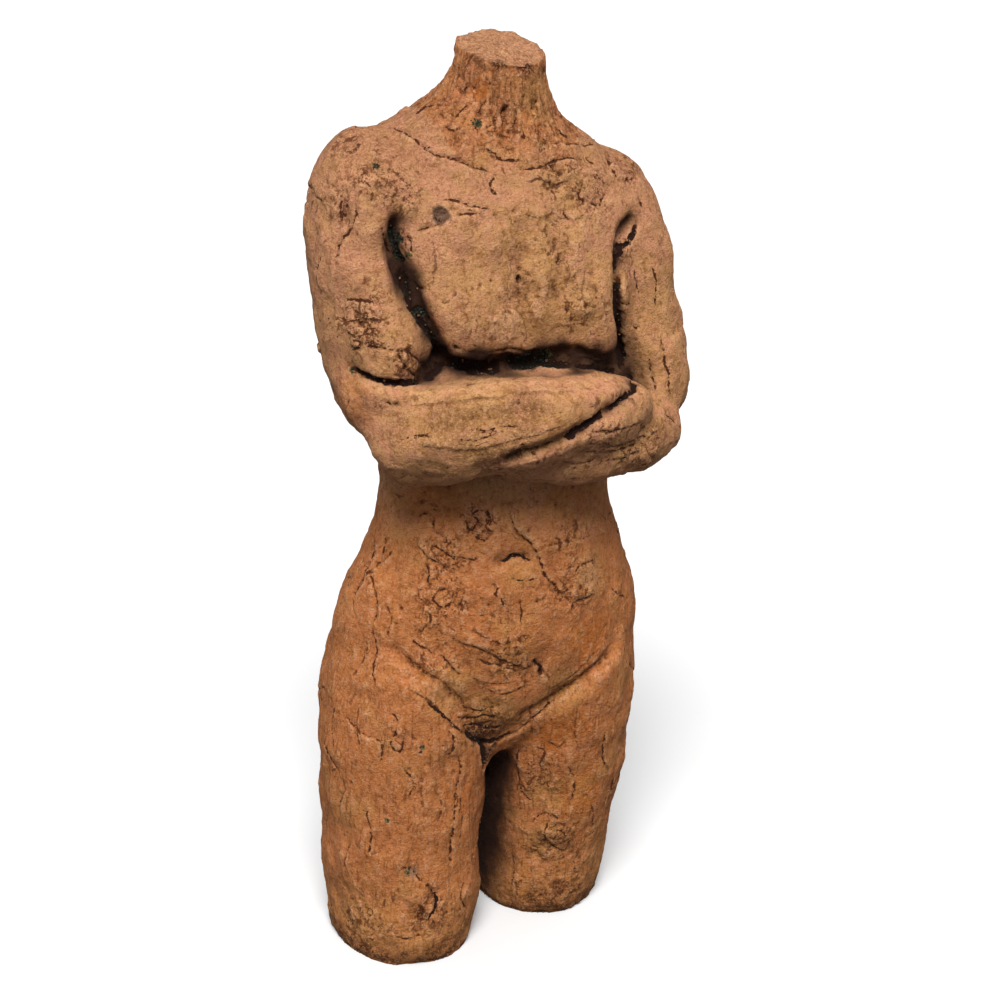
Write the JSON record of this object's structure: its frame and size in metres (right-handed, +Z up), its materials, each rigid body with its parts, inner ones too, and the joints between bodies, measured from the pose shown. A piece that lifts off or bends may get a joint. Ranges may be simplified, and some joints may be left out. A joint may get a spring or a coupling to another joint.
{
  "type": "terracotta torso sculpture",
  "caption": "Hand-modelled terracotta torso of a standing woman with folded arms, cut off at the neck and at mid thigh, standing on its flat leg ends.",
  "frame": {"origin": "on the ground under the middle of the figure's bounding box", "axes": "the front looks along -Y, +X is the figure's left and the viewer's right, +Z is up"},
  "size_m": [0.309, 0.2282, 0.7499],
  "materials": {
    "terracotta": "unglazed fired clay, rough and matt, with cracks, flaked slip, dirt and moss"
  },
  "bodies": {
    "root": {"torso": "terracotta"}
  },
  "joints": []
}
